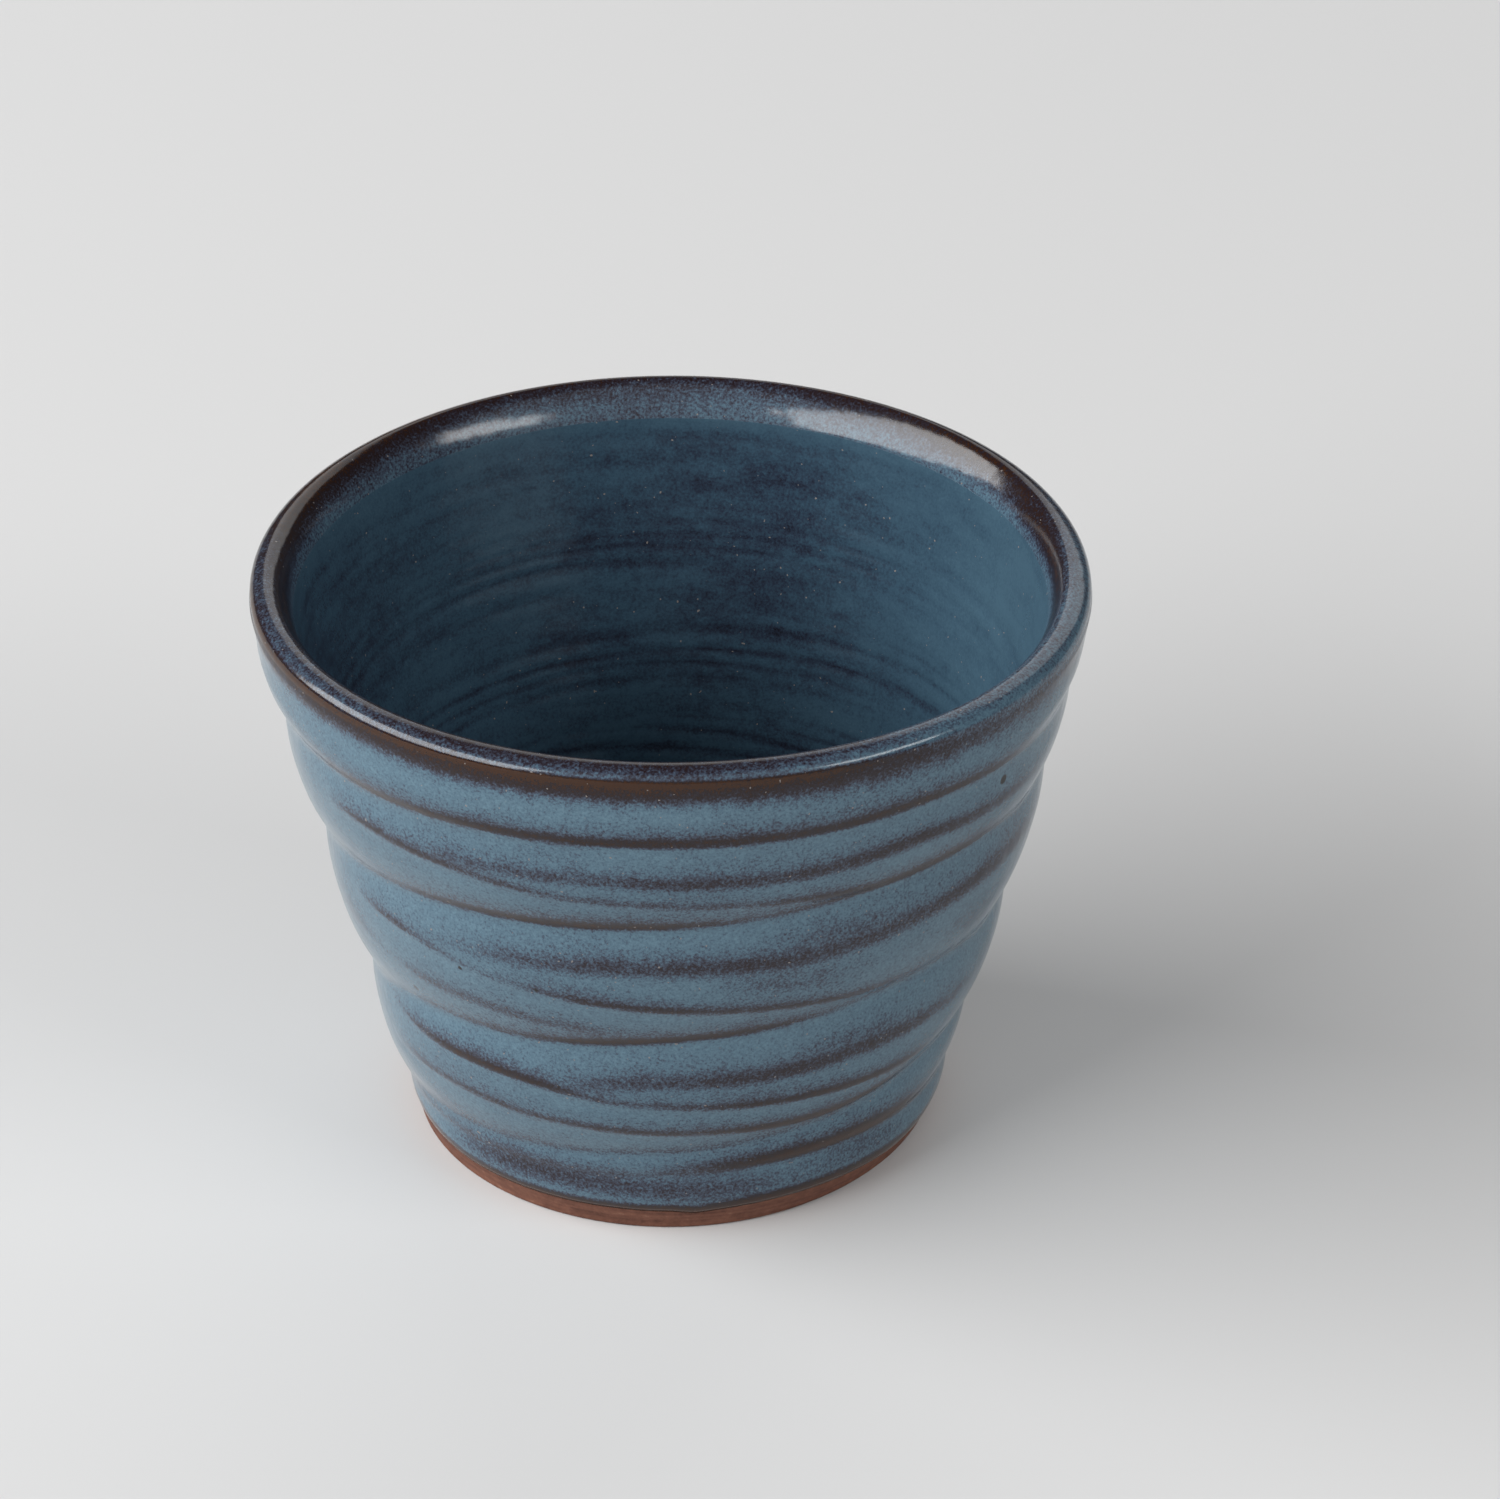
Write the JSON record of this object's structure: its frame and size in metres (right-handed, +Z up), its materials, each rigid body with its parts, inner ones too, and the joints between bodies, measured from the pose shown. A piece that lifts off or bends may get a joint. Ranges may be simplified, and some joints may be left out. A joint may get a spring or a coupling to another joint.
{
  "type": "shaving mug",
  "caption": "Wheel-thrown shaving mug: a wide flared cup with throwing rings, a round lip, a glaze coat inside and out, and a bare clay foot.",
  "frame": {"origin": "centre of the foot, on the plane that the mug stands on", "axes": "+Z up along the axis that the mug was thrown about; -Y towards a person who sees the side described as the front"},
  "size_m": [0.1, 0.1, 0.0736],
  "materials": {
    "bare_clay": "unglazed red-brown stoneware, matte, fired",
    "outside_glaze": "glossy slate-blue glaze, purple-brown where it is thin over the ridges and the rim",
    "inside_glaze": "glossy blue glaze with fine darker throwing lines"
  },
  "bodies": {
    "root": {"clay_body": "bare_clay", "outside_glaze": "outside_glaze", "inside_glaze": "inside_glaze"}
  },
  "joints": []
}
